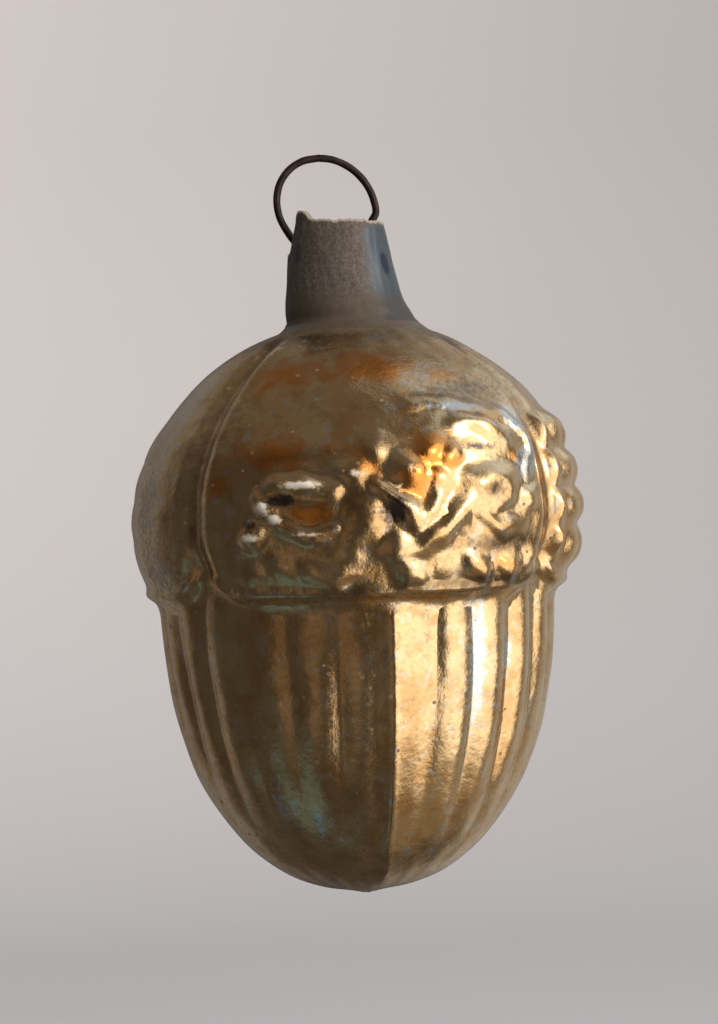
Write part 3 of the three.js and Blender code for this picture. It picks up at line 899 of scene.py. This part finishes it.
def make_stage():
    """Plain pale round floor well below the ornament, which curves up into a wall all round it."""
    floor_z, wall_radius, bend, wall_top = -300.0, 1900.0, 600.0, 2600.0
    profile = [(radius, floor_z) for radius in np.linspace(1, wall_radius - bend, 12)]
    for a in np.linspace(0, math.pi / 2, 24)[1:]:
        profile.append((wall_radius - bend + bend * math.sin(a), floor_z + bend - bend * math.cos(a)))
    profile.append((wall_radius, wall_top))
    angle = all_round(96)
    points = [(r * math.sin(a), -r * math.cos(a), z) for r, z in profile for a in angle]
    sweep = new_piece("sweep", points, ring_faces(len(profile), len(angle), 0, False))
    sweep.data.materials.append(stage_material())
    sweep.visible_glossy = False  # the ornament mirrors the room instead
    sweep.visible_diffuse = False
    sweep.visible_shadow = False


# Parts of the room that the ornament mirrors. Each is the range of turns to the right of the camera and of
# heights (sine of the elevation) that it fills, how soft its edges are, and its light.
ROOM = [
    ((22, 92), (-0.62, 0.60), (5, 0.14), (1.50, 1.38, 1.24)),
    ((60, 140), (0.45, 0.97), (14, 0.12), (0.42, 0.50, 0.62)),
    ((-38, -14), (-0.60, 0.25), (9, 0.20), (0.12, 0.085, 0.055)),
    ((-75, -45), (-0.95, -0.60), (12, 0.12), (0.06, 0.13, 0.15)),
    ((-170, -112), (-0.6, 0.7), (14, 0.2), (0.12, 0.115, 0.11)),
    ((108, 172), (-0.7, 0.7), (14, 0.2), (0.34, 0.33, 0.31)),
    ((-200, 200), (0.66, 1.2), (5, 0.2), (0.075, 0.062, 0.052)),
    ((10, 115), (-1.2, -0.60), (9, 0.16), (0.15, 0.11, 0.065)),
]
DIM_ROOM = (0.064, 0.057, 0.052)


def make_room():
    """World light by direction: a dim room with a bright window to the right of the camera."""
    world = bpy.data.worlds.new("room")
    world.use_nodes = True
    scene.world = world
    n = Nodes(world.node_tree)
    direction = n.add("TexCoord").outputs["Generated"]
    right = n.add("VectorMath", direction, TO_RIGHT, operation="DOT_PRODUCT").outputs["Value"]
    towards = n.add("VectorMath", direction, TO_CAMERA, operation="DOT_PRODUCT").outputs["Value"]
    height = n.add("SeparateXYZ", direction).outputs["Z"]
    angle = n.math("DEGREES", n.math("ARCTAN2", right, towards))
    light = n.add("RGB").outputs[0]
    light.default_value = (*DIM_ROOM, 1)
    for (from_angle, to_angle), (low, high), (soft_angle, soft_height), colour in ROOM:
        inside = n.between(angle, from_angle - soft_angle, from_angle + soft_angle)
        inside = n.math("MULTIPLY", inside, n.between(angle, to_angle + soft_angle, to_angle - soft_angle))
        inside = n.math("MULTIPLY", inside, n.between(height, low - soft_height, low + soft_height))
        inside = n.math("MULTIPLY", inside, n.between(height, high + soft_height, high - soft_height))
        part = n.add("VectorMath", colour, operation="SCALE")
        n.put(part.inputs["Scale"], inside)
        light = n.add("VectorMath", light, part.outputs[0], operation="ADD").outputs[0]
    n.add("OutputWorld", n.add("Background", light, 1.0).outputs[0])


def area_light(name, angle, height, distance, size, power, colour):
    """A soft square lamp a number of degrees to the right of the camera, aimed at the cup."""
    data = bpy.data.lights.new(name, "AREA")
    data.size = size
    data.energy = power
    data.color = colour
    lamp = bpy.data.objects.new(name, data)
    scene.collection.objects.link(lamp)
    across = math.radians(angle)
    way = (TO_CAMERA * math.cos(across) + TO_RIGHT * math.sin(across)) + Vector((0, 0, height))
    way.normalize()
    centre = Vector((0, 0, WIDEST_Z)) * MM
    lamp.location = centre + way * distance
    lamp.rotation_euler = (-way).to_track_quat("-Z", "Y").to_euler()
    return lamp


def make_lights():
    stage_light = area_light("stage_light", 20, 1.4, 2.2, 2.4, 40, (1.0, 0.98, 0.98))
    stage_light.visible_glossy = False
    area_light("window_light", 52, 0.35, 0.9, 0.16, 1.6, (1.0, 0.94, 0.86))


# ------------------------------------------------------------------------------------------------- pieces

def make_ornament():
    for build, material, replaced, slot in (
        (gold_lacquer, lacquer_material, "lacquer_coat", "gold_lacquer"),
        (blown_glass, glass_material, "glass_shell", "blown_glass"),
        (silver_film, silver_material, "silver_lining", "silvering"),
    ):
        piece = build()
        piece.data.materials.append(material())
        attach(piece, "ornament")
        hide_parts(replaced)


def make_hanger():
    finish = wire_material()
    for side, leg in ((-1, "left_leg"), (1, "right_leg")):
        piece = half_wire(side)
        piece.data.materials.append(finish)
        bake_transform(piece)
        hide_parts("hanger_loop", "hanger_leg_left" if side < 0 else "hanger_leg_right")


make_camera()
make_ornament()
make_hanger()
make_stage()
make_room()
make_lights()
scene.view_settings.view_transform = "Standard"
